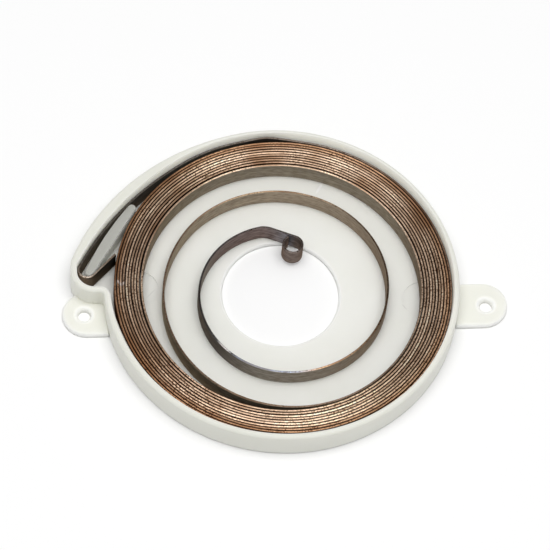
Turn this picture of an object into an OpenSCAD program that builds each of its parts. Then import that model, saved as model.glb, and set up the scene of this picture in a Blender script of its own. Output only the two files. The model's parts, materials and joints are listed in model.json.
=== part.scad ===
// Flat spiral return spring, held wound in a shallow moulded case.
// The origin is on the hub axis, in the plane that the case rests on.
// X runs along the line of the two screw holes, and Z is up.

/* [Case] */
// Outside diameter of the round wall
case_d = 90; // [80:0.5:110]
// Thickness of the walls
wall_t = 1.6; // [1.2:0.1:2.4]
// Thickness of the floor
floor_t = 1.2; // [0.8:0.1:2.4]
// How far the rim stands above the strip
rim_over = 1.6; // [0.4:0.1:4]
// Diameter of the hole that the hub passes through
hub_hole_d = 29.6; // [24:0.2:33]
// Diameter of the shallow round pin marks in the floor
mark_d = 10; // [6:0.5:12]
// Depth of the pin marks
mark_depth = 0.15; // [0.05:0.05:0.4]
// Distance of the pin marks from the hub axis
mark_pitch_r = 36; // [26:0.5:37]
// Direction of the first pin mark, the second is opposite
mark_turn = -4; // [-20:1:20]

/* [Screw ears] */
// How far each screw hole lies outside the round wall
ear_reach = 5.9; // [5:0.1:12]
// How far the two screw holes are shifted along X from the hub axis
screw_shift = 1; // [-2:0.1:2]
// How far the line of screw holes lies in front of the hub axis
screw_front = 5; // [3:0.1:8]
// Diameter of the screw holes
screw_hole_d = 3.2; // [2.4:0.1:4.4]
// Width of an ear
ear_w = 12.2; // [9:0.1:14]
// Distance from a screw hole to the tip of its ear
ear_tip = 5.5; // [4:0.1:8]
// How far the middle of an ear lies behind its screw hole
ear_back = 0.4; // [0:0.1:1.5]
// Thickness of an ear
ear_t = 1.8; // [1:0.1:4]

/* [Spring strip] */
// Width of the strip, which stands on edge
strip_w = 5.2; // [4:0.1:8]
// Thickness of the strip
strip_t = 0.55; // [0.4:0.01:0.7]
// Gap between neighbouring turns of the pack
coil_gap = 0.18; // [0.08:0.01:0.24]
// Turns in the pack, in steps of half a turn
pack_turns = 10.5; // [8:0.5:11]
// Gap between the outermost turn and the wall
coil_clear = 0.1; // [0.05:0.01:0.3]
// Angle that each of the loose bends turns through
loose_angle = 79.9; // [77:0.1:82]
// Inside diameter of the rolled eye at the inner end
eye_d = 4.3; // [3.4:0.1:6]
// Angle that the eye is rolled through
eye_angle = 312; // [270:1:314]
// Straight length that leads to the eye
eye_lead = 6.7; // [5:0.1:8]
// Inside radius of the elbow before the eye
elbow_r = 5; // [3:0.1:8]
// Angle that the elbow turns through
elbow_angle = 35; // [25:1:42]

/* [Hook and pocket] */
// Direction in which the strip leaves the round wall for the pocket
hook_turn = 121.5; // [118:0.5:126]
// Bend radius of the strip along the pocket
run_r = 78; // [72:1:90]
// Length of the strip along the pocket
run_l = 42; // [39:0.2:45]
// Inside radius of the hook
hook_r = 1.9; // [1.5:0.05:2.2]
// Angle that the hook turns back through
hook_angle = 163.5; // [156:0.5:168]
// Extra gap between the strip and the pack where the strip leaves for the pocket
hook_gap = 0.5; // [0.2:0.05:0.8]
// Gap between the end of the strip and the pack
end_gap = 0.2; // [0.1:0.05:1]
// Gap between the strip and the wall of the pocket
pocket_clear = 0.08; // [0.05:0.01:0.2]
// Free room in front of the hook
pocket_room = 3.2; // [1.5:0.1:4]
// Inside radius of the corner of the pocket
pocket_corner_r = 4.3; // [2:0.1:4.6]
// Radius of the rounded mouth, where the pocket joins the round wall
mouth_r = 2.8; // [1.7:0.1:3.2]
// Direction in which the outside of the case starts to swell for the pocket
swell_turn = 102; // [95:1:108]
// Gap between the post and the strip that is hooked round it
post_clear = 0.12; // [0.06:0.01:0.3]
// Gap between the post and the pack
post_pack_gap = 0.6; // [0.4:0.05:1]
// Radius of the round ends of the post
post_tip_r = 1; // [0.6:0.05:1.2]
// How far the side of the post that faces the wall is bowed
post_bow = 0.75; // [0.2:0.05:0.9]
// How far the post stays below the top of the strip
post_under = 0.1; // [0:0.1:1]

/* [Hidden] */
$fn = 120;
arc_step = 6;
cut = 1;
case_color = [0.87, 0.88, 0.84];
steel_color = [0.50, 0.38, 0.28];

case_r = case_d / 2;
cavity_r = case_r - wall_t;
strip_top = floor_t + strip_w;
case_h = strip_top + rim_over;
pitch = strip_t + coil_gap;
half_turns = round(2 * pack_turns);
// Radius of the middle of the strip in the outermost turn, and in the innermost turn of the pack
pack_r = cavity_r - coil_clear - strip_t / 2;
pack_inner_r = pack_r - (pitch * (half_turns - 1) + hook_gap) / 2;
// Radius of each loose bend, as a share of the innermost turn of the pack
loose_shares = [0.902, 0.896, 0.807, 0.752, 0.715, 0.621, 0.578];

// A step along the strip is [radius, angle], turning left where the angle is positive,
// or [0, length] where the strip is straight. A place is [point, heading].
function left_of(heading) = [-sin(heading), cos(heading)];
function ahead(heading) = [cos(heading), sin(heading)];
function step_centre(place, step) = place[0] + sign(step[1]) * step[0] * left_of(place[1]);
function part_way(place, step, share) =
    step[0] == 0
    ? [place[0] + share * step[1] * ahead(place[1]), place[1]]
    : let (heading = place[1] + share * step[1])
      [step_centre(place, step) - sign(step[1]) * step[0] * left_of(heading), heading];
// Wide arcs get more facets for the same angle
function facets(radius, angle) = max(2, ceil(abs(angle) / arc_step * max(1, radius / cavity_r)));
function places_in(place, step) =
    let (count = step[0] == 0 ? 1 : facets(step[0], step[1]))
    [for (i = [1:count]) part_way(place, step, i / count)];
function walk_on(place, steps, i) =
    i == len(steps)
    ? []
    : concat(places_in(place, steps[i]), walk_on(part_way(place, steps[i], 1), steps, i + 1));
function walk(place, steps) = concat([place], walk_on(place, steps, 0));
function reversed(list) = [for (i = [len(list) - 1:-1:0]) list[i]];
function turned_back(places) = [for (place = reversed(places)) [place[0], place[1] + 180]];
function side_of(places, offset) = [for (place = places) place[0] + offset * left_of(place[1])];
function arc(centre, radius, from, to) =
    let (count = facets(radius, to - from))
    [for (i = [0:count]) centre + radius * ahead(from + (to - from) * i / count)];
// Points on an arc that bows out to the right of the way from one point to the other
function bowed(from, to, bow) =
    let (chord = to - from,
         half = norm(chord) / 2,
         radius = (half * half + bow * bow) / (2 * bow),
         across = atan2(chord[1], chord[0]) - 90,
         spread = asin(half / radius))
    arc((from + to) / 2 - (radius - bow) * ahead(across), radius, across - spread, across + spread);

// The strip, from the place where it leaves the round wall: outwards to the hook, and inwards to the eye
start_point = pack_r * ahead(hook_turn);
hook_start = [start_point, hook_turn + 90];
hook_mid_r = hook_r + strip_t / 2;
run_angle = run_l / run_r * 180 / PI;
run_step = [run_r, run_angle];
hook_step = [hook_mid_r, hook_angle];
hook_place = part_way(hook_start, run_step, 1);
hook_centre = step_centre(hook_place, hook_step);
leg_place = part_way(hook_place, hook_step, 1);
// The end leg stops short of the second turn, which is the outside of the pack beside the pocket
second_shift = (pitch + hook_gap) / 2;
leg_from_pack = leg_place[0] + second_shift * ahead(hook_turn);
leg_along = leg_from_pack * ahead(leg_place[1]);
leg_stop_r = pack_r - second_shift + strip_t + end_gap;
leg_root = leg_along * leg_along - leg_from_pack * leg_from_pack + leg_stop_r * leg_stop_r;
leg_l = -leg_along - sqrt(leg_root);
hook_steps = [run_step, hook_step, [0, leg_l]];
// The eye is rolled a little tight, and its bore is then reamed to size
ream_depth = 0.03;
eye_mid_r = (eye_d + strip_t) / 2 - ream_depth;
eye_step = [eye_mid_r, -eye_angle];
coil_steps = concat(
    [[pack_r, -180]],
    [for (i = [1:half_turns - 1]) [pack_r - (pitch * i + hook_gap) / 2, -180]],
    [for (share = loose_shares) [pack_inner_r * share, -loose_angle]],
    [[elbow_r + strip_t / 2, -elbow_angle], [0, eye_lead], eye_step]);
coil_places = walk([start_point, hook_turn - 90], coil_steps);
hook_places = walk(hook_start, hook_steps);
eye_end = coil_places[len(coil_places) - 1];
eye_centre = step_centre(eye_end, eye_step);
strip_places = concat(turned_back(hook_places), [for (i = [1:len(coil_places) - 1]) coil_places[i]]);

// The pocket follows the outside of the hook
run_centre = step_centre(hook_start, run_step);
pocket_wall_r = run_r + strip_t / 2 + pocket_clear;
pocket_left = hook_centre[0] - hook_r - strip_t - pocket_clear;
pocket_front = hook_centre[1] - hook_r - strip_t - pocket_room;
mouth_centre = [-sqrt(pow(cavity_r + mouth_r, 2) - pow(pocket_front - mouth_r, 2)), pocket_front - mouth_r];
mouth_turn = atan2(-mouth_centre[1], -mouth_centre[0]);
corner_r = min(pocket_corner_r, mouth_centre[0] - pocket_left);
corner_centre = [pocket_left, pocket_front] + corner_r * [1, 1];
pocket_side_turn = acos((pocket_left - run_centre[0]) / pocket_wall_r);
// The outside swells on an arc that leaves the round wall and clears the hook by one wall
swell_end = [pocket_left - wall_t, hook_centre[1] + hook_r];
swell_along = swell_end * ahead(swell_turn);
swell_r = (swell_end * swell_end + case_r * case_r - 2 * case_r * swell_along)
    / (2 * (case_r - swell_along));
swell_centre = (case_r - swell_r) * ahead(swell_turn);
swell_end_turn = atan2(swell_end[1] - swell_centre[1], swell_end[0] - swell_centre[0]);
swell_front = pocket_front - wall_t;

// The post starts where the gap between the strip and the pack is wide enough for it, and ends in the hook,
// where the leg of the strip bears on it
bend_change = 1 / pack_r - 1 / run_r;
post_room = 2 * post_tip_r + post_clear + post_pack_gap;
post_start_l = sqrt(2 * (post_room - coil_gap - hook_gap) / bend_change);
post_start_turn = hook_turn + post_start_l / run_r * 180 / PI;
post_start = run_centre + (run_r - strip_t / 2 - post_clear - post_tip_r) * ahead(post_start_turn);
post_end = hook_centre - (hook_r - post_tip_r - post_clear) * left_of(leg_place[1]);
post_h = strip_w - post_under;

screw_r = screw_hole_d / 2;
screw_right_x = case_r + ear_reach + screw_shift;
screw_left_x = -case_r - ear_reach + screw_shift;

module pocket_outline() {
    polygon(concat(
        arc(run_centre, pocket_wall_r, hook_turn, pocket_side_turn),
        arc(corner_centre, corner_r, 180, 270),
        arc(mouth_centre, mouth_r, 90, mouth_turn),
        [(cavity_r - wall_t) * ahead(180 + mouth_turn), (cavity_r - wall_t) * ahead(hook_turn)]));
}

module swell_outline() {
    polygon(concat(
        arc(swell_centre, swell_r, swell_turn, swell_end_turn),
        arc(corner_centre, corner_r + wall_t, 180, 270),
        [[-cavity_r, swell_front], [-cavity_r + wall_t, swell_front], cavity_r * ahead(swell_turn)]));
}

module post_outline() {
    offset(r = post_tip_r)
        polygon(bowed(post_start, post_end, post_bow));
}

module ear(screw_x) {
    side = sign(screw_x);
    end_x = screw_x + side * (ear_tip - ear_w / 2);
    translate([end_x, ear_back - screw_front, 0])
        cylinder(h = ear_t, d = ear_w);
    translate([min(end_x, side * cavity_r), ear_back - screw_front - ear_w / 2, 0])
        cube([abs(end_x) - cavity_r, ear_w, ear_t]);
}

module case() {
    color(case_color)
        difference() {
            union() {
                cylinder(h = case_h, r = case_r);
                linear_extrude(height = case_h)
                    swell_outline();
                ear(screw_right_x);
                ear(screw_left_x);
            }
            difference() {
                translate([0, 0, floor_t])
                    union() {
                        cylinder(h = case_h, r = cavity_r);
                        linear_extrude(height = case_h)
                            pocket_outline();
                    }
                linear_extrude(height = floor_t + post_h)
                    post_outline();
            }
            translate([0, 0, -cut])
                cylinder(h = floor_t + 2 * cut, d = hub_hole_d);
            for (screw_x = [screw_left_x, screw_right_x])
                translate([screw_x, -screw_front, -cut])
                    cylinder(h = ear_t + 2 * cut, r = screw_r);
            for (half = [0, 180])
                rotate(mark_turn + half)
                    translate([mark_pitch_r, 0, floor_t - mark_depth])
                        cylinder(h = strip_w, d = mark_d);
        }
}

module spring() {
    color(steel_color)
        difference() {
            translate([0, 0, floor_t])
                linear_extrude(height = strip_w)
                    polygon(concat(
                        side_of(strip_places, strip_t / 2),
                        reversed(side_of(strip_places, -strip_t / 2))));
            translate([eye_centre[0], eye_centre[1], floor_t - cut])
                cylinder(h = strip_w + 2 * cut, d = eye_d);
        }
}

case();
spring();
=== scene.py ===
# %% [markdown]
# # A flat spiral return spring in its moulded case
# A long steel strip lies wound on edge in a shallow, milky plastic case. Its outer end is hooked
# round a post in a side pocket of the case, and its inner end is rolled into an eye. The packed
# solids are the fixed frame: every finished piece below takes its size and place from them, and
# stands for one of them in the picture.

# %% Load the frame
import json
import math

import bpy
import numpy as np
from mathutils import Matrix, Vector


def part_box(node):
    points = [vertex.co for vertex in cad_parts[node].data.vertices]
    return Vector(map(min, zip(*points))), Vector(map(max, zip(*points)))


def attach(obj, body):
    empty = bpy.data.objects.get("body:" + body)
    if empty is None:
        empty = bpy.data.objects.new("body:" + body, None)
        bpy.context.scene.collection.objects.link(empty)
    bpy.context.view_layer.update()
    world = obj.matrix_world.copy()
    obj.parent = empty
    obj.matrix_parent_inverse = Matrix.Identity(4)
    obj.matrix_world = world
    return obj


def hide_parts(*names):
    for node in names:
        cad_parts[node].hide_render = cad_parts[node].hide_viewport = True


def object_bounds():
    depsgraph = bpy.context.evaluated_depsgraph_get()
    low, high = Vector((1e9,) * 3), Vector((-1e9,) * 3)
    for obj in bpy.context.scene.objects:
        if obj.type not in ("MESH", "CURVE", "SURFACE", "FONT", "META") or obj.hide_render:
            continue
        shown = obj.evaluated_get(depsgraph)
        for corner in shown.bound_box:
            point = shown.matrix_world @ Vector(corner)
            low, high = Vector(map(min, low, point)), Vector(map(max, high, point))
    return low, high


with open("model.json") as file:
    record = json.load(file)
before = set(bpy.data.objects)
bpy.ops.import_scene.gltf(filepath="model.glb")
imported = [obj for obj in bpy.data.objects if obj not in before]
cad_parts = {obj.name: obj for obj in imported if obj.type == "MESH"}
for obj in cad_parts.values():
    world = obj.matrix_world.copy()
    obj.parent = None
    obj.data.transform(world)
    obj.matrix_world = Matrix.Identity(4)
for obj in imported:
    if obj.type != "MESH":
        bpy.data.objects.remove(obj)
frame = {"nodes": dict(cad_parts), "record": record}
cad_low, cad_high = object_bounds()
scene = bpy.context.scene
scene.view_settings.view_transform = "Standard"
mm = 0.001
cad_size = [round(x / mm, 1) for x in cad_high - cad_low]
print("frame holds", sorted(frame["nodes"]), "in a box of", cad_size, "mm")

# %% [markdown]
# ## Sizes that the solids give
# The heights, the round wall and the holes are read from the frame, so that a change of size in the
# solids carries over. Only what the box of a node can't tell, such as the thickness of the strip,
# is written here.

# %% Read the main sizes
case_low, case_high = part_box("case")
spring_low, spring_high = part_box("spring")
mounts = {m["name"]: m for m in frame["record"]["mounts"]}
case_r = -case_low.y
case_h = case_high.z
floor_t = spring_low.z
strip_w = spring_high.z - spring_low.z
hub_r = mounts["hub_hole"]["dims"]["r_mm"] * mm
screw_r = mounts["screw_holes"]["dims"]["hole_r_mm"] * mm
screw_middle = Vector(mounts["screw_holes"]["pos_m"])
screw_half_spacing = mounts["screw_holes"]["dims"]["spacing_x_mm"] * mm / 2
wall_t = 1.6 * mm
cavity_r = case_r - wall_t
strip_t = 0.55 * mm
strip_size = [round(strip_w / mm, 2), round(strip_t / mm, 2)]
print("wall radius", round(case_r / mm, 2), "mm, strip section", strip_size, "mm")

# %% [markdown]
# ## The line that the strip follows
# A spring winder bends a strip in arcs that run on into each other without a corner. The same walk
# is made here: each bend is a radius and an angle, and the next one starts where the last one
# ended, with the same heading. A straight stretch is a bend with no radius and a length. Angles are
# in degrees, and a positive one turns to the left.

# %% Walk along bends
arc_step = 2.5
fewest_steps = 3
line_steps = 8


def ahead(angle):
    return np.array([math.cos(math.radians(angle)), math.sin(math.radians(angle))])


def left_of(heading):
    return ahead(heading + 90)


def bend_centre(place, bend):
    return place[0] + math.copysign(bend[0], bend[1]) * left_of(place[1])


def part_way(place, bend, share):
    """The place, a point and a heading, at a share of the way along a bend."""
    radius, turn = bend
    if radius == 0:
        return place[0] + share * turn * ahead(place[1]), place[1]
    heading = place[1] + share * turn
    return bend_centre(place, bend) - math.copysign(radius, turn) * left_of(heading), heading


def walk(place, bends):
    """All places along a row of bends, the first one included."""
    places = [place]
    for bend in bends:
        count = line_steps if bend[0] == 0 else max(fewest_steps, math.ceil(abs(bend[1]) / arc_step))
        start = places[-1]
        places += [part_way(start, bend, (i + 1) / count) for i in range(count)]
    return places


# %% Hook, pack, loose turns and eye
coil_gap = 0.18 * mm
coil_clear = 0.1 * mm
half_turns = 21
hook_turn = 121.5
run_r = 78 * mm
run_l = 42 * mm
hook_r = 1.9 * mm
hook_sweep = 163.5
hook_gap = 0.5 * mm
end_gap = 0.2 * mm
loose_sweep = 79.9
loose_shares = (0.902, 0.896, 0.807, 0.752, 0.715, 0.621, 0.578)
elbow_bend = (5.275 * mm, -35)
eye_lead = 6.7 * mm
eye_r = mounts["eye"]["dims"]["r_mm"] * mm
eye_sweep = 312

pitch = strip_t + coil_gap
pack_r = cavity_r - coil_clear - strip_t / 2
pack_inner_r = pack_r - (pitch * (half_turns - 1) + hook_gap) / 2
leave_point = pack_r * ahead(hook_turn)
run_place = (leave_point, hook_turn + 90)
run_bend = (run_r, math.degrees(run_l / run_r))
hook_bend = (hook_r + strip_t / 2, hook_sweep)
hook_place = part_way(run_place, run_bend, 1)
hook_centre = bend_centre(hook_place, hook_bend)
leg_point, leg_heading = part_way(hook_place, hook_bend, 1)
second_shift = (pitch + hook_gap) / 2
leg_from_pack = leg_point + second_shift * ahead(hook_turn)
leg_along = leg_from_pack @ ahead(leg_heading)
leg_stop_r = pack_r - second_shift + strip_t + end_gap
leg_l = -leg_along - math.sqrt(leg_along**2 - leg_from_pack @ leg_from_pack + leg_stop_r**2)

pack_bends = [(pack_r, -180)]
pack_bends += [(pack_r - (pitch * i + hook_gap) / 2, -180) for i in range(1, half_turns)]
loose_bends = [(pack_inner_r * share, -loose_sweep) for share in loose_shares]
inner_bends = [elbow_bend, (0, eye_lead), (eye_r + strip_t / 2, -eye_sweep)]
coil_places = walk((leave_point, hook_turn - 90), pack_bends + loose_bends + inner_bends)
hook_places = walk(run_place, [run_bend, hook_bend, (0, leg_l)])
strip_places = [(point, heading + 180) for point, heading in reversed(hook_places)] + coil_places[1:]
strip_line = np.array([point for point, heading in strip_places])
strip_length = np.linalg.norm(np.diff(strip_line, axis=0), axis=1).sum()
print("strip of", round(strip_length, 2), "m in", len(strip_line), "points")

# %% [markdown]
# ## A hand-wound look
# No coil lies as true as its drawing. A slow, small wander in radius and height lets each turn
# catch the light in its own way. Two rows of seeded random numbers, spread along the strip, are
# joined by straight lines, and stay under the gap between turns. The last turn of the pack has
# settled inward a little. The outermost one has a small outward kink at the back, near the pocket,
# and lies close to the pack beyond it.

# %% Let the turns wander
wander_every = 14 * mm
wander_r = 0.055 * mm
wander_z = 0.11 * mm
kink_turn = 92
kink_rise = 0.4 * mm
kink_spread = 4.5
close_over = 14
settle = 0.2 * mm
wander_seed = 7


def bend_length(bend):
    radius, turn = bend
    return math.radians(abs(turn)) * radius if radius else turn


def closing_in(turns):
    """How far in from its drawn circle the outermost turn lies, beyond the kink."""
    share = np.clip((kink_turn - turns) / close_over, 0, 1)
    slack = hook_gap / 2 * (1 + np.cos(np.radians(turns - hook_turn)))
    return slack * share**2 * (3 - 2 * share)


wander_rng = np.random.default_rng(wander_seed)
steps = np.linalg.norm(np.diff(strip_line, axis=0), axis=1)
along = np.concatenate([[0], np.cumsum(steps)])
knots = np.arange(0, along[-1] + wander_every, wander_every)
sideways = np.interp(along, knots, wander_rng.uniform(-wander_r, wander_r, len(knots)))
lift = np.interp(along, knots, wander_rng.uniform(0, wander_z, len(knots)))
radii = np.linalg.norm(strip_line, axis=1)
angles = np.degrees(np.arctan2(strip_line[:, 1], strip_line[:, 0]))
in_pack = np.clip((radii - pack_inner_r) / pitch, 0, 1) * (radii < pack_r - pitch / 2)
outermost = np.abs(radii - pack_r) < pitch / 2
kink = kink_rise * np.exp(-(((angles - kink_turn) / kink_spread) ** 2)) * outermost
loose_l = sum(bend_length(bend) for bend in loose_bends + inner_bends)
last_turn = np.clip((along[-1] - loose_l - along) / (2 * math.pi * pack_inner_r), 0, 1)
settled = settle * np.sin(np.pi * last_turn) ** 2
hook_l = along[len(hook_places) - 1]
first_half = (along > hook_l) & (along < hook_l + math.pi * pack_r)
closed = closing_in(angles) * first_half
outward = strip_line / radii[:, None]
strip_line = strip_line + outward * (sideways * in_pack + kink - settled - closed)[:, None]
print("wander up to", round(float(np.abs(sideways * in_pack).max() / mm), 3), "mm")

# %% [markdown]
# ## The strip
# Rolled strip has flat sides and slightly rounded edges. A small Geometry Nodes tree sweeps such a
# section along the walk, and notes for each point how far along the strip and how far across its
# width it lies, and which way the strip runs there. The steel's finish follows these notes later
# on, wherever the strip bends. Only the edges between the small facets of the section are left
# sharp, so that the sides stay flat in the light and the bends stay smooth.

# %% Build the sweep
edge_facets = 4
facet_turn = 12


def strip_tree(steel):
    tree = bpy.data.node_groups.new("strip sweep", "GeometryNodeTree")
    face = tree.interface
    face.new_socket("Path", in_out="INPUT", socket_type="NodeSocketGeometry")
    for label in ("Thickness", "Width", "Edge radius"):
        face.new_socket(label, in_out="INPUT", socket_type="NodeSocketFloat")
    face.new_socket("Strip", in_out="OUTPUT", socket_type="NodeSocketGeometry")
    nodes, links = tree.nodes, tree.links
    given = nodes.new("NodeGroupInput")
    made = nodes.new("NodeGroupOutput")

    section = nodes.new("GeometryNodeCurvePrimitiveQuadrilateral")
    links.new(given.outputs["Thickness"], section.inputs["Width"])
    links.new(given.outputs["Width"], section.inputs["Height"])
    rounded = nodes.new("GeometryNodeFilletCurve")
    rounded.mode = "POLY"
    rounded.inputs["Count"].default_value = edge_facets
    rounded.inputs["Limit Radius"].default_value = True
    links.new(section.outputs["Curve"], rounded.inputs["Curve"])
    links.new(given.outputs["Edge radius"], rounded.inputs["Radius"])
    here = nodes.new("GeometryNodeInputPosition")
    parts = nodes.new("ShaderNodeSeparateXYZ")
    links.new(here.outputs["Position"], parts.inputs["Vector"])
    across_share = nodes.new("ShaderNodeMath")
    across_share.operation = "DIVIDE"
    links.new(parts.outputs["Y"], across_share.inputs[0])
    links.new(given.outputs["Width"], across_share.inputs[1])
    note_across = nodes.new("GeometryNodeStoreNamedAttribute")
    note_across.inputs["Name"].default_value = "across"
    links.new(rounded.outputs["Curve"], note_across.inputs["Geometry"])
    links.new(across_share.outputs["Value"], note_across.inputs["Value"])

    upright = nodes.new("GeometryNodeSetCurveNormal")
    upright.mode = "Z_UP"
    links.new(given.outputs["Path"], upright.inputs["Curve"])
    spot = nodes.new("GeometryNodeSplineParameter")
    note_along = nodes.new("GeometryNodeStoreNamedAttribute")
    note_along.inputs["Name"].default_value = "along"
    links.new(upright.outputs["Curve"], note_along.inputs["Geometry"])
    links.new(spot.outputs["Length"], note_along.inputs["Value"])
    heading = nodes.new("GeometryNodeInputTangent")
    note_way = nodes.new("GeometryNodeStoreNamedAttribute")
    note_way.data_type = "FLOAT_VECTOR"
    note_way.inputs["Name"].default_value = "way"
    links.new(note_along.outputs["Geometry"], note_way.inputs["Geometry"])
    links.new(heading.outputs["Tangent"], note_way.inputs["Value"])

    sweep = nodes.new("GeometryNodeCurveToMesh")
    sweep.inputs["Fill Caps"].default_value = True
    links.new(note_way.outputs["Geometry"], sweep.inputs["Curve"])
    links.new(note_across.outputs["Geometry"], sweep.inputs["Profile Curve"])
    corner = nodes.new("GeometryNodeInputMeshEdgeAngle")
    sharp = nodes.new("FunctionNodeCompare")
    sharp.operation = "GREATER_THAN"
    sharp.inputs["B"].default_value = math.radians(facet_turn)
    links.new(corner.outputs["Unsigned Angle"], sharp.inputs["A"])
    crisp = nodes.new("GeometryNodeSetShadeSmooth")
    crisp.domain = "EDGE"
    crisp.inputs["Shade Smooth"].default_value = False
    links.new(sweep.outputs["Mesh"], crisp.inputs["Geometry"])
    links.new(sharp.outputs["Result"], crisp.inputs["Selection"])
    real = nodes.new("GeometryNodeRealizeInstances")
    links.new(crisp.outputs["Geometry"], real.inputs["Geometry"])
    coat = nodes.new("GeometryNodeSetMaterial")
    coat.inputs["Material"].default_value = steel
    links.new(real.outputs["Geometry"], coat.inputs["Geometry"])
    links.new(coat.outputs["Geometry"], made.inputs["Strip"])
    return tree


def plain_mesh(source, name):
    """The evaluated shape of an object as a plain mesh, on a new object in place of the old one."""
    graph = bpy.context.evaluated_depsgraph_get()
    mesh = bpy.data.meshes.new_from_object(source.evaluated_get(graph))
    mesh.name = name
    bpy.data.objects.remove(source)
    piece = bpy.data.objects.new(name, mesh)
    scene.collection.objects.link(piece)
    return piece


# %% Sweep the strip
edge_r = 0.17 * mm
steel = bpy.data.materials.new("tempered strip steel")
path = bpy.data.curves.new("strip path", "CURVE")
path.dimensions = "3D"
spline = path.splines.new("POLY")
spline.points.add(len(strip_line) - 1)
middle_z = floor_t + strip_w / 2 + lift
path_points = np.column_stack([strip_line, middle_z, np.ones(len(strip_line))])
spline.points.foreach_set("co", path_points.ravel())
strip_path = bpy.data.objects.new("strip path", path)
scene.collection.objects.link(strip_path)
sweep = strip_path.modifiers.new("sweep", "NODES")
sweep.node_group = strip_tree(steel)
sweep_sizes = {"Thickness": strip_t, "Width": strip_w, "Edge radius": edge_r}
for item in sweep.node_group.interface.items_tree:
    if item.name in sweep_sizes:
        sweep[item.identifier] = sweep_sizes[item.name]
strip = plain_mesh(strip_path, "strip")
notes = [name for name in ("along", "across", "way") if name in strip.data.attributes]
print("strip has", len(strip.data.polygons), "faces and notes", notes)

# %% [markdown]
# ## The case
# The case is one moulding: a floor, a wall that runs round it and swells into a pocket, and soft
# edges everywhere, as a mould needs. It is drawn as rings, each a closed row of points at one
# height. From ring to ring the outline moves in or out by a small step, which rounds the rims. All
# rings have the same number of points, so that plain four-sided faces join them, and smooth shading
# then works without any tricks. The first and last ring are filled, as underside and floor.

# %% Outlines of the wall
pocket_clear = 0.08 * mm
pocket_room = 3.2 * mm
corner_r = 4.3 * mm
mouth_r = 2.8 * mm
swell_turn = 102
root_r = 1.2 * mm
round_count = 220
swell_count = 20
run_count = 60
side_count = 6
bend_count = 16
front_count = 8

run_centre = bend_centre(run_place, run_bend)
pocket_r = run_r + strip_t / 2 + pocket_clear
pocket_left = hook_centre[0] - hook_r - strip_t - pocket_clear
pocket_front = hook_centre[1] - hook_r - strip_t - pocket_room
corner_centre = np.array([pocket_left, pocket_front]) + corner_r
mouth_y = pocket_front - mouth_r
mouth_centre = np.array([-math.sqrt((cavity_r + mouth_r) ** 2 - mouth_y**2), mouth_y])
mouth_turn = math.degrees(math.atan2(-mouth_y, -mouth_centre[0]))
pocket_side_turn = math.degrees(math.acos((pocket_left - run_centre[0]) / pocket_r))
swell_end = np.array([pocket_left - wall_t, hook_centre[1] + hook_r])
swell_along = swell_end @ ahead(swell_turn)
swell_r = (swell_end @ swell_end + case_r**2 - 2 * case_r * swell_along) / (2 * (case_r - swell_along))
swell_centre = (case_r - swell_r) * ahead(swell_turn)
swell_front = pocket_front - wall_t
root_y = swell_front - root_r
root_centre = np.array([-math.sqrt((case_r + root_r) ** 2 - root_y**2), root_y])
root_turn = math.degrees(math.atan2(-root_y, -root_centre[0]))


def arc(centre, radius, start, end, count):
    return [centre + radius * ahead(start + (end - start) * i / count) for i in range(count)]


def line(start, end, count):
    return [start + (end - start) * i / count for i in range(count)]


def swell_beside(point):
    """The point of the swollen outside that lies in line with the hub and a point of the pocket."""
    way = point / np.linalg.norm(point)
    along_way = way @ swell_centre
    reach = along_way + math.sqrt(along_way**2 - swell_centre @ swell_centre + swell_r**2)
    if way[1] * reach < swell_end[1]:
        reach = swell_end[0] / way[0]
    return way * reach


hub = np.zeros(2)
inner_side_end = run_centre + pocket_r * ahead(pocket_side_turn)
pocket_side = arc(hub, cavity_r, swell_turn, hook_turn, swell_count)
pocket_side += arc(run_centre, pocket_r, hook_turn, pocket_side_turn, run_count)
inner_outline = np.array(
    arc(hub, cavity_r, mouth_turn - 180, swell_turn, round_count)
    + pocket_side
    + line(inner_side_end, corner_centre - [corner_r, 0], side_count)
    + arc(corner_centre, corner_r, 180, 270, bend_count)
    + line(corner_centre - [0, corner_r], mouth_centre + [0, mouth_r], front_count)
    + arc(mouth_centre, mouth_r, 90, mouth_turn, bend_count)
)
outer_outline = np.array(
    arc(hub, case_r, root_turn - 180, swell_turn, round_count)
    + [swell_beside(point) for point in pocket_side]
    + line(swell_beside(inner_side_end), corner_centre - [corner_r + wall_t, 0], side_count)
    + arc(corner_centre, corner_r + wall_t, 180, 270, bend_count)
    + line(corner_centre - [0, corner_r + wall_t], root_centre + [0, root_r], front_count)
    + arc(root_centre, root_r, 90, root_turn, bend_count)
)
print("wall outlines of", len(inner_outline), "and", len(outer_outline), "points")

# %% [markdown]
# A ring steps in or out from an outline, so each outline needs its outward direction at every
# point. That is a quarter turn from the way between the two neighbours of the point. Thick plastic
# looks greyer than thin plastic, because less light comes back out of it, and light falls unevenly
# on walls and edges, so each face also notes a painted shade, light and shade painted into its colour.

# %% Make rings and solids
edge_steps = 4
edge_rings = edge_steps + 1


def outward_of(outline):
    way = np.roll(outline, -1, axis=0) - np.roll(outline, 1, axis=0)
    way /= np.linalg.norm(way, axis=1)[:, None]
    return np.column_stack([way[:, 1], -way[:, 0]])


def ring(outline, step, height):
    """A closed row of points: the outline moved outward by a step, at a height."""
    moved = outline + outward_of(outline) * step
    return np.column_stack([moved, np.full(len(moved), height)])


def rounded_edge(outline, radius, height, wall_side, turn_from, turn_to):
    """Rings over a rounding beside the outline, whose centre is at the height."""
    rings = []
    for i in range(edge_rings):
        turn = turn_from + (turn_to - turn_from) * i / edge_steps
        step, rise = radius * ahead(turn)
        rings.append(ring(outline, wall_side * (step - radius), height + rise))
    return rings


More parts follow.
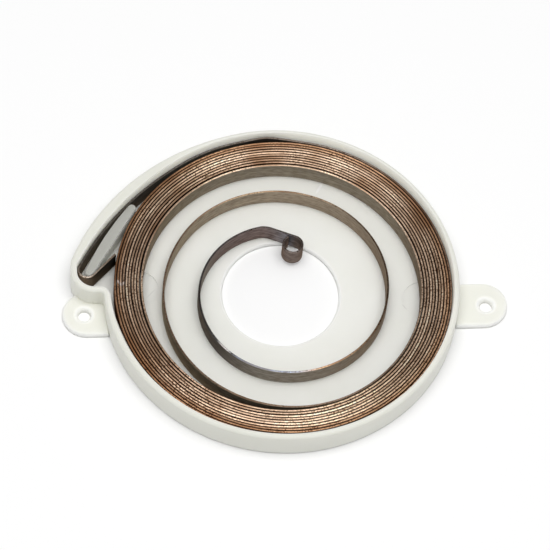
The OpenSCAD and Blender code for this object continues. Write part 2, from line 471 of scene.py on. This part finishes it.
def solid_of_rings(name, rings, closed, ring_painted_shades):
    """Four-sided faces from ring to ring, closed as a tube or with flat faces on the end rings.

    Each ring has a painted shade level, light and shade painted into the colour, and each face notes
    the mean level of its rings."""
    points = np.concatenate(rings)
    count = len(rings[0])
    faces, face_painted_shades = [], []
    for i in range(len(rings) if closed else len(rings) - 1):
        after = (i + 1) % len(rings)
        low, high = i * count, after * count
        for j in range(count):
            beside = (j + 1) % count
            faces.append((low + j, low + beside, high + beside, high + j))
        face_painted_shades += [(ring_painted_shades[i] + ring_painted_shades[after]) / 2] * count
    if not closed:
        faces.append(tuple(reversed(range(count))))
        faces.append(tuple(range((len(rings) - 1) * count, len(rings) * count)))
        face_painted_shades += [ring_painted_shades[0], ring_painted_shades[-1]]
    mesh = bpy.data.meshes.new(name)
    mesh.from_pydata(points.tolist(), [], faces)
    mesh.attributes.new("painted_shading", "FLOAT", "FACE").data.foreach_set("value", face_painted_shades)
    piece = bpy.data.objects.new(name, mesh)
    scene.collection.objects.link(piece)
    return piece


print("a rounded edge takes", edge_rings, "rings")

# %% [markdown]
# A soft moulding gives way to the spring. The kinked turn lies in a shallow dent of the wall.
# Beyond it, and again from the mouth of the pocket round the front left, the wall is a little
# thicker below the top of the strip, which narrows the dark gap beside the coil. Above the strip
# the inside of the back wall leans outward a little, and takes the light from above.

# %% Let the wall follow the strip
wall_follow = 0.85
most_filled = 0.5 * mm
dent_spread = 1.3 * kink_spread
rim_lean = 0.5 * mm
lean_turn = 9
lean_share = 0.2
lean_swing = 1.3

wall_angles = np.degrees(np.arctan2(inner_outline[:, 1], inner_outline[:, 0]))
dent = kink_rise * np.exp(-(((wall_angles - kink_turn) / dent_spread) ** 2))
thicker = wall_follow * np.where(wall_angles > hook_turn - 180, closing_in(wall_angles), 0)
second_slack = second_shift * (1 + np.cos(np.radians(wall_angles - hook_turn)))
from_mouth = np.clip((wall_angles - mouth_turn + 180) / close_over, 0, 1)
filled = np.minimum(second_slack, most_filled) * from_mouth
thicker += np.where(wall_angles < hook_turn - 180, filled, 0)
wall_out = inner_outline / np.linalg.norm(inner_outline, axis=1)[:, None]
inner_wall = inner_outline + wall_out * (dent - thicker)[:, None]
back_share = lean_share + lean_swing * np.sin(np.radians(wall_angles + lean_turn))
lean = rim_lean * np.clip(back_share, 0, 1)
rim_line = inner_outline + outward_of(inner_outline) * lean[:, None]
print("wall thicker by up to", round(float(thicker.max() / mm), 2), "mm")

# %% [markdown]
# The rings now run from the underside up the outside, over the rim and down the inside to the
# floor. A ring close to each rounding holds it in shape. Each ring carries a painted shade: full for
# the thin floor, less for the ears, the walls and their edges, and least for the top of the solid
# post. The inside of the wall, the sides of the ears and of the post, and the walls of the holes get
# a painted glow, a little lighter than the floor.

# %% Rings of the case
# Painted light and shade: each level darkens or lightens a part of the plastic's colour for how light
# falls there, below 1 for painted shade and above 1 for a painted glow.
floor_tone = 1
ear_painted_shade = 0.94
painted_glow = 1.06
foot_painted_shade = 0.66
wall_painted_shade = 0.85
rim_edge_painted_shade = 0.79
rim_painted_shade = 0.88
foot_round = 0.5 * mm
rim_outer_round = 0.7 * mm
rim_inner_round = 0.3 * mm
rim_inner_end = 15
corner_fill = 0.4 * mm
hold = 0.3 * mm

strip_top = floor_t + strip_w
case_rings = (
    [ring(outer_outline, -foot_round - hold, 0)]
    + rounded_edge(outer_outline, foot_round, foot_round, 1, -90, 0)
    + [ring(outer_outline, 0, foot_round + hold)]
    + [ring(outer_outline, 0, case_h - rim_outer_round - hold)]
    + rounded_edge(outer_outline, rim_outer_round, case_h - rim_outer_round, 1, 0, 90)
    + rounded_edge(rim_line, rim_inner_round, case_h - rim_inner_round, -1, 90, rim_inner_end)
    + [ring(inner_wall, 0, strip_top)]
    + [ring(inner_wall, 0, floor_t + corner_fill + hold)]
    + rounded_edge(inner_wall, -corner_fill, floor_t + corner_fill, -1, 0, 90)
    + [ring(inner_wall, -corner_fill - hold, floor_t)]
)
case_painted_shades = (
    [floor_tone]
    + [foot_painted_shade] * edge_rings
    + [wall_painted_shade] * 2
    + [rim_edge_painted_shade] * edge_rings
    + [rim_painted_shade] * edge_rings
    + [painted_glow] * 2
    + [floor_tone] * (edge_rings + 1)
)
case_body = solid_of_rings("case body", case_rings, False, case_painted_shades)
print("case body of", len(case_rings), "rings and", len(case_body.data.polygons), "faces")

# %% [markdown]
# ## Post and ears
# The post that the strip is hooked round has round ends, a straight side toward the coil and a
# bowed side toward the wall. An ear is a flat tongue with a round end and a screw hole. Both are
# built from rings as well, and are then fused with the case, because all of it is one moulding.

# %% Outline of the post
post_clear = 0.12 * mm
post_pack_gap = 0.6 * mm
post_tip_r = 1 * mm
post_bow = 0.75 * mm
post_under = 0.1 * mm
post_round = 0.2 * mm
post_top_painted_shade = 0.48
post_side_painted_glow = 1.6
bow_count = 24
tip_count = 12
straight_count = 16

bend_change = 1 / pack_r - 1 / run_r
post_room = 2 * post_tip_r + post_clear + post_pack_gap
post_start_l = math.sqrt(2 * (post_room - coil_gap - hook_gap) / bend_change)
post_start_turn = hook_turn + math.degrees(post_start_l / run_r)
post_start = run_centre + (run_r - strip_t / 2 - post_clear - post_tip_r) * ahead(post_start_turn)
post_end = hook_centre - (hook_r - post_tip_r - post_clear) * left_of(leg_heading)
chord = post_end - post_start
half_chord = np.linalg.norm(chord) / 2
bow_r = (half_chord**2 + post_bow**2) / (2 * post_bow)
bow_way = math.degrees(math.atan2(chord[1], chord[0])) - 90
bow_spread = math.degrees(math.asin(half_chord / bow_r))
bow_centre = (post_start + post_end) / 2 - (bow_r - post_bow) * ahead(bow_way)
straight_side = post_tip_r * ahead(bow_way + 180)
post_outline = np.array(
    arc(bow_centre, bow_r + post_tip_r, bow_way - bow_spread, bow_way + bow_spread, bow_count)
    + arc(post_end, post_tip_r, bow_way + bow_spread, bow_way + 180, tip_count)
    + line(post_end + straight_side, post_start + straight_side, straight_count)
    + arc(post_start, post_tip_r, bow_way + 180, bow_way + 360 - bow_spread, tip_count)
)
post_top = strip_top - post_under
post_rings = [ring(post_outline, 0, floor_t / 2)]
post_rings += rounded_edge(post_outline, post_round, post_top - post_round, 1, 0, 90)
# Painted shade on the post's top, and a painted glow on its sides, which take the mean of the foot
# ring's level and the top's.
post_painted_shades = [post_side_painted_glow] + [post_top_painted_shade] * (len(post_rings) - 1)
post = solid_of_rings("post", post_rings, False, post_painted_shades)
print("post", round(2 * float(half_chord + post_tip_r) / mm, 1), "mm from tip to tip")

# %% Ears with their screw holes
ear_w = 12.2 * mm
ear_tip = 5.5 * mm
ear_back = 0.4 * mm
ear_t = 1.8 * mm
ear_lift = 0.02 * mm
ear_round = 0.7 * mm
hole_round = 0.9 * mm
low_round = 0.05 * mm
ear_sink = wall_t / 3
ear_round_count = 40
ear_side_count = 4
ear_root_count = 6


def ear(name, side):
    screw = np.array([screw_middle.x + side * screw_half_spacing, screw_middle.y])
    centre = screw + [side * (ear_tip - ear_w / 2), ear_back]
    root_x = side * (cavity_r + ear_sink)
    half = np.array([0, ear_w / 2])
    toward = 90 if side < 0 else -90
    start = centre - side * half
    end = centre + side * half
    root_end = np.array([root_x, end[1]])
    root_start = np.array([root_x, start[1]])
    outline = np.array(
        arc(centre, ear_w / 2, toward, toward + 180, ear_round_count)
        + line(end, root_end, ear_side_count)
        + line(root_end, root_start, ear_root_count)
        + line(root_start, start, ear_side_count)
    )
    turns = np.arctan2(*(outline - screw).T[::-1])
    hole = screw + screw_r * np.column_stack([np.cos(turns), np.sin(turns)])
    rings = (
        rounded_edge(outline, low_round, ear_lift + low_round, 1, -90, 0)
        + rounded_edge(outline, ear_round, ear_t - ear_round, 1, 0, 90)
        + [ring(outline, -ear_round - hold, ear_t), ring(hole, hole_round + hold, ear_t)]
        + rounded_edge(hole, hole_round, ear_t - hole_round, -1, 90, 0)
        + rounded_edge(hole, low_round, ear_lift + low_round, -1, 0, -90)
    )
    hole_rings = 2 * edge_rings
    side_rings = edge_rings + 3
    top_rings = len(rings) - side_rings - hole_rings
    # Painted glow on the ear's sides and on the walls of its hole, and on its top a painted shade a
    # little below the floor's level.
    ring_painted_shades = [painted_glow] * side_rings + [ear_painted_shade] * top_rings + [painted_glow] * hole_rings
    return solid_of_rings(name, rings, True, ring_painted_shades)


ears = [ear("left ear", -1), ear("right ear", 1)]
ear_ends = [round(max(abs(corner[0]) for corner in tab.bound_box) / mm, 1) for tab in ears]
print("ears reach", ear_ends, "mm to either side of the hub")

# %% [markdown]
# The hub hole is cut by a plug whose ends flare out, so that the hole's edges come out rounded, and
# whose painted glow lightens the walls of the hole. The mould's pins leave two faint round marks in
# the floor, mostly under the coil. Two flat discs cut them, little deeper than a scratch, and the
# painted shade of their sides draws the faint rings.

# %% Plugs of the mould
hub_round = 0.7 * mm
past = 0.02 * mm
mark_r = 5 * mm
mark_depth = 0.15 * mm
mark_pitch_r = 36 * mm
mark_turn = -4
mark_side_painted_shade = 0
mark_count = 64
hub_count = 120


def pin(name, turn):
    outline = np.array(arc(mark_pitch_r * ahead(turn), mark_r, 0, 360, mark_count))
    rings = [ring(outline, 0, floor_t - mark_depth), ring(outline, 0, floor_t + mark_r)]
    return solid_of_rings(name, rings, False, [floor_tone, mark_side_painted_shade])


hub_outline = np.array(arc(hub, hub_r, 0, 360, hub_count))
hub_rings = rounded_edge(hub_outline, low_round, low_round - past, -1, -90, 0)
hub_rings += rounded_edge(hub_outline, hub_round, floor_t - hub_round + past, -1, 0, 90)
plugs = [solid_of_rings("hub plug", hub_rings, False, [painted_glow] * len(hub_rings))]
plugs += [pin("right pin", mark_turn), pin("left pin", mark_turn + 180)]
print("plugs:", [plug.name for plug in plugs])

# %% Fuse the moulding
plastic = bpy.data.materials.new("milky case plastic")
case_sharp_turn = 40
tools = [(piece, "UNION") for piece in [post] + ears]
tools += [(piece, "DIFFERENCE") for piece in plugs]
for tool, way in tools:
    fuse = case_body.modifiers.new(tool.name, "BOOLEAN")
    fuse.operation = way
    fuse.solver = "EXACT"
    fuse.object = tool
case = plain_mesh(case_body, "case_moulding")
for tool, way in tools:
    bpy.data.objects.remove(tool)
case.data.materials.clear()
case.data.materials.append(plastic)
case.data.shade_smooth()
case.data.set_sharp_from_angle(angle=math.radians(case_sharp_turn))
print("case moulding has", len(case.data.polygons), "faces")

# %% [markdown]
# ## Milky plastic
# The case is unfilled plastic, which lets light in and scatters it, so thin ears glow and edges
# look soft. Subsurface scattering gives that, together with the painted shade of each face, which
# paints light and shade into the colour. A faint, slow change of tone and a fine orange-peel bump
# keep it from looking flat. One pale streak and two hairlines mark the floor, each as a small oval.

# %% Helpers for finishes
mark_reach = 0.6 * mm
mark_core = 0.6


def shader_of(material):
    material.use_nodes = True
    nodes = material.node_tree.nodes
    nodes.clear()
    out = nodes.new("ShaderNodeOutputMaterial")
    shader = nodes.new("ShaderNodeBsdfPrincipled")
    material.node_tree.links.new(shader.outputs["BSDF"], out.inputs["Surface"])
    return nodes, material.node_tree.links, shader


def ramp(nodes, stops):
    made = nodes.new("ShaderNodeValToRGB")
    elements = made.color_ramp.elements
    while len(elements) < len(stops):
        elements.new(0.5)
    for element, (position, colour) in zip(elements, stops):
        element.position = position
        element.color = (*colour, 1)
    return made


def noise(nodes, links, vector, scale, detail):
    made = nodes.new("ShaderNodeTexNoise")
    made.inputs["Scale"].default_value = scale
    made.inputs["Detail"].default_value = detail
    links.new(vector, made.inputs["Vector"])
    return made


def blend(nodes, links, factor, low, high, kind="MIX"):
    made = nodes.new("ShaderNodeMix")
    made.data_type = "RGBA"
    made.blend_type = kind
    for value, socket in ((factor, "Factor"), (low, "A"), (high, "B")):
        if isinstance(value, (int, float, tuple)):
            made.inputs[socket].default_value = value
        else:
            links.new(value, made.inputs[socket])
    return made.outputs["Result"]


def oval(nodes, links, place, height, centre, turn, half_size):
    """Full inside a small oval mark at a height, and nothing outside it."""
    laid = nodes.new("ShaderNodeMapping")
    laid.vector_type = "TEXTURE"
    laid.inputs["Location"].default_value = (centre[0] * mm, centre[1] * mm, height)
    laid.inputs["Rotation"].default_value = (0, 0, math.radians(turn))
    laid.inputs["Scale"].default_value = (half_size[0] * mm, half_size[1] * mm, mark_reach)
    links.new(place, laid.inputs["Vector"])
    away = nodes.new("ShaderNodeVectorMath")
    away.operation = "LENGTH"
    links.new(laid.outputs["Vector"], away.inputs[0])
    inside = ramp(nodes, [(mark_core, (1, 1, 1)), (1, (0, 0, 0))])
    links.new(away.outputs["Value"], inside.inputs["Fac"])
    return inside.outputs["Color"]


print("a mark is full up to", mark_core, "of its size, and fades from there")

# %% Mix the plastic
scratches = [
    ((11.9, 31), 59, (2.1, 0.4), 1.14),
    ((31.2, -4.6), -54, (1.2, 0.15), 0.85),
    ((-32.8, 1.1), 47, (2.1, 0.15), 0.88),
]
cloud_scale = 60
peel_scale = 900
tint_stops = [(0.3, (0.88, 0.88, 0.805)), (0.7, (0.92, 0.92, 0.845))]
nodes, links, shader = shader_of(plastic)
place = nodes.new("ShaderNodeTexCoord").outputs["Object"]
cloud = noise(nodes, links, place, cloud_scale, 3)
tint = ramp(nodes, tint_stops)
links.new(cloud.outputs["Fac"], tint.inputs["Fac"])
# The painted shade of each face, light and shade painted into the colour, multiplies the tint.
painted_shading_note = nodes.new("ShaderNodeAttribute")
painted_shading_note.attribute_name = "painted_shading"
painted_shading = painted_shading_note.outputs["Color"]
case_colour = blend(nodes, links, 1, tint.outputs["Color"], painted_shading, "MULTIPLY")
for centre, turn, half_size, shade in scratches:
    mark = oval(nodes, links, place, floor_t, centre, turn, half_size)
    case_colour = blend(nodes, links, mark, case_colour, (shade, shade, shade, 1), "MULTIPLY")
links.new(case_colour, shader.inputs["Base Color"])
peel = noise(nodes, links, place, peel_scale, 2)
bump = nodes.new("ShaderNodeBump")
bump.inputs["Strength"].default_value = 0.08
bump.inputs["Distance"].default_value = 0.1 * mm
links.new(peel.outputs["Fac"], bump.inputs["Height"])
links.new(bump.outputs["Normal"], shader.inputs["Normal"])
shader.inputs["Roughness"].default_value = 0.55
shader.inputs["Subsurface Weight"].default_value = 1
shader.inputs["Subsurface Radius"].default_value = (1, 1, 1)
shader.inputs["Subsurface Scale"].default_value = 1.8 * mm
print("plastic mixed with", len(nodes), "nodes")

# %% [markdown]
# ## Tempered steel
# The strip was tempered in one pass, so its colour changes along its length: nearly black at the
# hooked end, bronze in the pack, and brown, blue, grey and dull purple toward the eye. Its slit
# edges are bare, and in the pack they are lighter than its sides, whose own dark colour is deepened
# by painted shade for the narrow gaps between turns. Some stops paint light too: the run beside the
# hook is painted lighter where the pocket shades it, the hook's bend has a painted highlight, and one
# white glint is painted on an edge of the inner loose turn. The notes of how far along and how far
# across a point lies carry all of this. The grain from rolling runs along the strip, so the edges
# flash where they lie across the view, and stay dark where they run along it. The stops below are
# distances in metres.

# %% Colours toward the eye
colour_span = 0.45
side_stops = [
    (0, (0.21, 0.17, 0.15)),
    (0.0145, (0.2, 0.165, 0.15)),
    (0.0155, (0.24, 0.245, 0.275)),
    (0.0185, (0.2, 0.18, 0.185)),
    (0.022, (0.2, 0.155, 0.145)),
    (0.036, (0.2, 0.165, 0.16)),
    (0.044, (0.24, 0.23, 0.215)),
    (0.052, (0.13, 0.13, 0.125)),
    (0.066, (0.13, 0.125, 0.12)),
    (0.08, (0.32, 0.295, 0.26)),
    (0.105, (0.33, 0.28, 0.23)),
    (0.125, (0.28, 0.235, 0.19)),
    (0.165, (0.42, 0.35, 0.275)),
    (0.19, (0.43, 0.375, 0.3)),
    (0.212, (0.4, 0.36, 0.29)),
    (0.23, (0.29, 0.25, 0.19)),
    (0.25, (0.24, 0.2, 0.145)),
    (0.268, (0.17, 0.14, 0.1)),
    (0.29, (0.06, 0.05, 0.04)),
    (0.34, (0.34, 0.3, 0.245)),
    (0.42, (0.32, 0.285, 0.23)),
    # From 0.45 m on, in the pack, the sides are nearly black: their own dark colour, deepened by
    # painted shade for the narrow gaps between turns.
    (0.45, (0.05, 0.019, 0.007)),
]
edge_stops = [
    (0, (0.2, 0.175, 0.165)),
    (0.011, (0.16, 0.14, 0.135)),
    (0.014, (0.07, 0.06, 0.06)),
    (0.024, (0.1, 0.085, 0.085)),
    (0.0655, (0.09, 0.09, 0.095)),
    # From 0.0665 to 0.069 m a painted highlight: a white glint on the edge of the inner loose turn.
    (0.0665, (0.9, 0.9, 0.92)),
    (0.069, (0.9, 0.9, 0.92)),
    (0.07, (0.09, 0.09, 0.095)),
    (0.075, (0.42, 0.5, 0.66)),
    (0.087, (0.36, 0.4, 0.5)),
    (0.094, (0.55, 0.34, 0.19)),
    (0.104, (0.42, 0.27, 0.16)),
    (0.12, (0.14, 0.098, 0.068)),
    (0.148, (0.16, 0.11, 0.075)),
    (0.168, (0.46, 0.33, 0.21)),
    (0.186, (0.4, 0.28, 0.18)),
    (0.198, (0.17, 0.108, 0.07)),
    (0.25, (0.18, 0.12, 0.085)),
    (0.29, (0.2, 0.14, 0.1)),
    (0.33, (0.76, 0.56, 0.41)),
]
print("stops from the eye:", len(side_stops), "for sides and", len(edge_stops), "for edges")

# %% Colours toward the hook
hook_side_stops = [
    (0, (0.085, 0.082, 0.072)),
    (0.008, (0.085, 0.08, 0.07)),
    # At 11 mm the front of the hook's bend is a lighter reddish brown, partly its colour and partly a
    # painted highlight.
    (0.011, (0.27, 0.2, 0.15)),
    # From 15 to 60 mm the run's sides are painted lighter, painted light where the pocket shades the
    # run.
    (0.015, (0.16, 0.145, 0.125)),
    (0.06, (0.19, 0.175, 0.15)),
    (0.075, (0.1, 0.085, 0.07)),
    (0.1, (0.05, 0.03, 0.02)),
]
hook_edge_stops = [
    (0, (0.25, 0.2, 0.16)),
    (0.011, (0.32, 0.26, 0.21)),
    (0.016, (0.11, 0.1, 0.09)),
    (0.06, (0.1, 0.09, 0.08)),
    (0.12, (0.3, 0.24, 0.2)),
]
hook_share_stops = [(0.1, (1, 1, 1)), (0.2, (0, 0, 0))]
outer_span = 1.2
outer_stops = [(0.1, (0.6, 0.46, 0.36)), (0.6, (0.74, 0.62, 0.52)), (1.1, (1, 1, 1))]
print("stops from the hook:", len(hook_side_stops), "for sides and", len(hook_edge_stops), "for edges")


# %% Lay the colours along the strip
def along_ramp(nodes, links, distance, stops, span):
    """A row of colours over a distance along the strip."""
    share = nodes.new("ShaderNodeMath")
    share.operation = "DIVIDE"
    share.inputs[1].default_value = span
    share.use_clamp = True
    links.new(distance, share.inputs[0])
    made = ramp(nodes, [(position / span, colour) for position, colour in stops])
    links.new(share.outputs["Value"], made.inputs["Fac"])
    return made.outputs["Color"]


nodes, links, shader = shader_of(steel)
across = nodes.new("ShaderNodeAttribute")
across.attribute_name = "across"
along_note = nodes.new("ShaderNodeAttribute")
along_note.attribute_name = "along"
from_eye = nodes.new("ShaderNodeMath")
from_eye.operation = "SUBTRACT"
from_eye.inputs[0].default_value = along[-1]
links.new(along_note.outputs["Fac"], from_eye.inputs[1])
side_colour = along_ramp(nodes, links, from_eye.outputs["Value"], side_stops, colour_span)
edge_colour = along_ramp(nodes, links, from_eye.outputs["Value"], edge_stops, colour_span)
from_hook = along_note.outputs["Fac"]
outer_shade = along_ramp(nodes, links, from_hook, outer_stops, outer_span)
edge_colour = blend(nodes, links, 1, edge_colour, outer_shade, "MULTIPLY")
hook_share = along_ramp(nodes, links, from_hook, hook_share_stops, colour_span)
hook_sides = along_ramp(nodes, links, from_hook, hook_side_stops, colour_span)
hook_edges = along_ramp(nodes, links, from_hook, hook_edge_stops, colour_span)
side_colour = blend(nodes, links, hook_share, side_colour, hook_sides)
edge_colour = blend(nodes, links, hook_share, edge_colour, hook_edges)
print("colours set over", round(along[-1], 2), "m")

# %% Streaks along the strip
spot = nodes.new("ShaderNodeCombineXYZ")
links.new(along_note.outputs["Fac"], spot.inputs["X"])
links.new(across.outputs["Fac"], spot.inputs["Y"])


def along_noise(per_metre, over_width, detail, stops):
    """A change of tone along the strip, with so many spots in a metre and so many over its width."""
    stretch = nodes.new("ShaderNodeMapping")
    stretch.inputs["Scale"].default_value = (per_metre, over_width, 1)
    links.new(spot.outputs["Vector"], stretch.inputs["Vector"])
    made = noise(nodes, links, stretch.outputs["Vector"], 1, detail)
    shades = ramp(nodes, stops)
    links.new(made.outputs["Fac"], shades.inputs["Fac"])
    return shades.outputs["Color"]


turn_stops = [(0.32, (0.62, 0.57, 0.53)), (0.5, (0.95, 0.95, 0.95)), (0.68, (1.25, 1.28, 1.31))]
streak_stops = [(0.3, (0.78, 0.75, 0.72)), (0.7, (1.15, 1.15, 1.15))]
roll_stops = [(0.3, (0.75, 0.75, 0.75)), (0.7, (1.15, 1.15, 1.15))]
mottle_stops = [(0.35, (0.62, 0.58, 0.54)), (0.5, (1, 1, 1)), (0.68, (1.35, 1.33, 1.3))]
mottle_share_stops = [(0.02, (1, 1, 1)), (0.05, (0.6, 0.6, 0.6))]
turn_shades = along_noise(16, 1, 1, turn_stops)
streaks = along_noise(220, 3, 3, streak_stops)
roll_marks = along_noise(60, 14, 4, roll_stops)
mottle = along_noise(500, 8, 3, mottle_stops)
mottle_share = along_ramp(nodes, links, from_eye.outputs["Value"], mottle_share_stops, colour_span)
edge_colour = blend(nodes, links, 1, edge_colour, turn_shades, "MULTIPLY")
edge_colour = blend(nodes, links, 1, edge_colour, streaks, "MULTIPLY")
side_colour = blend(nodes, links, 1, side_colour, roll_marks, "MULTIPLY")
side_colour = blend(nodes, links, mottle_share, side_colour, mottle, "MULTIPLY")
print("streaks laid along the strip")

# %% [markdown]
# The bare edges have small dark specks and pale dots, the pale dots painted glints, more of them in
# some patches than in others, and most where the coil was rubbed at its front left and at its
# right. The same patches stain the edges a little. Two small pale pink ovals lie across the edges of
# the outer turns at the left.

# %% Specks, stains and pale spots
speck_scale = 2300
patch_scale = 75
# Dark specks below 0.47, and pale dots above 0.6, which are painted glints.
speck_stops = [(0.36, (0.2, 0.12, 0.07)), (0.47, (1, 1, 1)), (0.6, (1, 1, 1)), (0.68, (1.5, 1.6, 1.7))]
patch_stops = [(0.42, (0.25, 0.25, 0.25)), (0.56, (0.95, 0.95, 0.95))]
stain_stops = [(0.36, (0.65, 0.55, 0.47)), (0.5, (1, 0.985, 0.97)), (0.64, (1.2, 1.21, 1.2))]
rubbed_r = 39 * mm
rubbed_core = 0.5
rubbed_places = [(228, 20 * mm), (0, 9 * mm)]
pale_ovals = [((-40.9, 1.3), -59, (1.2, 0.4)), ((-40.1, 1), 61, (0.8, 0.35))]
pale_pink = (0.95, 0.78, 0.7, 1)

place = nodes.new("ShaderNodeTexCoord").outputs["Object"]
dust = noise(nodes, links, place, speck_scale, 2)
specks = ramp(nodes, speck_stops)
links.new(dust.outputs["Fac"], specks.inputs["Fac"])
patch = noise(nodes, links, place, patch_scale, 3)
speckled = ramp(nodes, patch_stops)
links.new(patch.outputs["Fac"], speckled.inputs["Fac"])
speck_share = speckled.outputs["Color"]
for turn, reach in rubbed_places:
    away = nodes.new("ShaderNodeVectorMath")
    away.operation = "DISTANCE"
    links.new(place, away.inputs[0])
    away.inputs[1].default_value = (*(rubbed_r * ahead(turn)), strip_top)
    rubbed = ramp(nodes, [(rubbed_core * reach, (1, 1, 1)), (reach, (0, 0, 0))])
    links.new(away.outputs["Value"], rubbed.inputs["Fac"])
    speck_share = blend(nodes, links, 1, speck_share, rubbed.outputs["Color"], "LIGHTEN")
stains = ramp(nodes, stain_stops)
links.new(patch.outputs["Fac"], stains.inputs["Fac"])
edge_colour = blend(nodes, links, 1, edge_colour, stains.outputs["Color"], "MULTIPLY")
edge_colour = blend(nodes, links, speck_share, edge_colour, specks.outputs["Color"], "MULTIPLY")
for centre, turn, half_size in pale_ovals:
    mark = oval(nodes, links, place, strip_top, centre, turn, half_size)
    edge_colour = blend(nodes, links, mark, edge_colour, pale_pink)
print("rubbed in", len(rubbed_places), "places")

# %% Join sides and edges
side_end = 0.488
edge_start = 0.499
off_middle = nodes.new("ShaderNodeMath")
off_middle.operation = "ABSOLUTE"
links.new(across.outputs["Fac"], off_middle.inputs[0])
near_edge = ramp(nodes, [(side_end, (0, 0, 0)), (edge_start, (1, 1, 1))])
links.new(off_middle.outputs["Value"], near_edge.inputs["Fac"])
steel_colour = blend(nodes, links, near_edge.outputs["Color"], side_colour, edge_colour)
links.new(steel_colour, shader.inputs["Base Color"])
grain = nodes.new("ShaderNodeAttribute")
grain.attribute_name = "way"
links.new(grain.outputs["Vector"], shader.inputs["Tangent"])
shader.inputs["Anisotropic"].default_value = 0.85
shader.inputs["Anisotropic Rotation"].default_value = 0.25
shader.inputs["Metallic"].default_value = 1
shader.inputs["Specular Tint"].default_value = (0.5, 0.38, 0.3, 1)
shader.inputs["Roughness"].default_value = 0.42
print("steel mixed with", len(nodes), "nodes")

# %% [markdown]
# ## Put the pieces in the frame
# Each finished piece stands for its solid and rides on the one body of the frame.

# %% Ride on the frame
for piece, node in ((case, "case"), (strip, "spring")):
    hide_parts(node)
    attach(piece, "root")

# %% [markdown]
# ## Ground and light
# The object lies on a white sheet in a bright room, as for a catalogue picture. One large soft
# light hangs overhead and a little to the front. It shows in the rounded edges of the strip where
# they run across the view, and leaves the edges that run along the view dark, which gives the coil
# its two bright fans. The sheet glows faintly in the picture and in reflections, but lights
# nothing, so that it looks white while the case keeps its shades.

# %% Lay the ground
sheet_glow = 0.05
ground_half = 3
ground_gap = 0.01 * mm
sheet = bpy.data.materials.new("white ground")
nodes, links, shader = shader_of(sheet)
shader.inputs["Base Color"].default_value = (0.9, 0.9, 0.9, 1)
shader.inputs["Roughness"].default_value = 0.9
shader.inputs["Specular IOR Level"].default_value = 0.1
light_path = nodes.new("ShaderNodeLightPath")
seen = light_path.outputs["Is Camera Ray"]
for ray in ("Is Glossy Ray", "Is Transmission Ray"):
    either = nodes.new("ShaderNodeMath")
    either.operation = "MAXIMUM"
    links.new(seen, either.inputs[0])
    links.new(light_path.outputs[ray], either.inputs[1])
    seen = either.outputs["Value"]
shown = nodes.new("ShaderNodeMath")
shown.operation = "MULTIPLY"
shown.inputs[1].default_value = sheet_glow
links.new(seen, shown.inputs[0])
shader.inputs["Emission Color"].default_value = (1, 1, 1, 1)
links.new(shown.outputs["Value"], shader.inputs["Emission Strength"])
ground_mesh = bpy.data.meshes.new("ground")
corner_sides = ((-1, -1), (1, -1), (1, 1), (-1, 1))
corners = [(x * ground_half, y * ground_half, -ground_gap) for x, y in corner_sides]
ground_mesh.from_pydata(corners, [], [(0, 1, 2, 3)])
ground_mesh.materials.append(sheet)
ground = bpy.data.objects.new("ground", ground_mesh)
scene.collection.objects.link(ground)
print("ground of", 2 * ground_half, "m")

# %% Hang the light
light_place = Vector((0, -0.08, 0.9))
light_size = (0.8, 0.6)
light_power = 5.4
room_light = 0.5
lamp = bpy.data.lights.new("overhead light", "AREA")
lamp.shape = "RECTANGLE"
lamp.size, lamp.size_y = light_size
lamp.energy = light_power
overhead = bpy.data.objects.new("overhead light", lamp)
overhead.location = light_place
overhead.rotation_euler = (-light_place).to_track_quat("-Z", "Y").to_euler()
scene.collection.objects.link(overhead)
world = bpy.data.worlds.new("studio")
world.use_nodes = True
room = world.node_tree.nodes["Background"]
room.inputs["Color"].default_value = (1, 1, 1, 1)
room.inputs["Strength"].default_value = room_light
scene.world = world
print("light of", light_power, "W, facing the hub")

# %% [markdown]
# ## Camera
# The camera looks down from the front with a long lens. Its distance, height, turn and slight roll
# were worked out from the round wall, the hub hole and the ears in the photograph.

# %% Set the camera
photo_size = 550
focal_pixels = 3932
view_distance = 1.0
view_elevation = 59.75
view_turn = 9.3
view_roll = 6.74
sensor_width = 36
aim = Vector((-1.961 * mm, 6.032 * mm, 0))

tilt = math.radians(view_elevation)
roll = math.radians(view_roll)
back = Vector((0, -math.cos(tilt), math.sin(tilt)))
right = Vector((1, 0, 0))
up = back.cross(right)
turned_right = math.cos(roll) * right + math.sin(roll) * up
turned_up = back.cross(turned_right)
unturn = Matrix.Rotation(-math.radians(view_turn), 3, "Z")
lens = bpy.data.cameras.new("camera")
lens.sensor_width = sensor_width
lens.lens = focal_pixels * sensor_width / photo_size
camera = bpy.data.objects.new("camera", lens)
axes = [unturn @ axis for axis in (turned_right, turned_up, back)]
camera.matrix_world = Matrix(axes).transposed().to_4x4()
camera.location = unturn @ (aim + view_distance * back)
scene.collection.objects.link(camera)
scene.camera = camera
print("camera at", [round(x, 3) for x in camera.location])
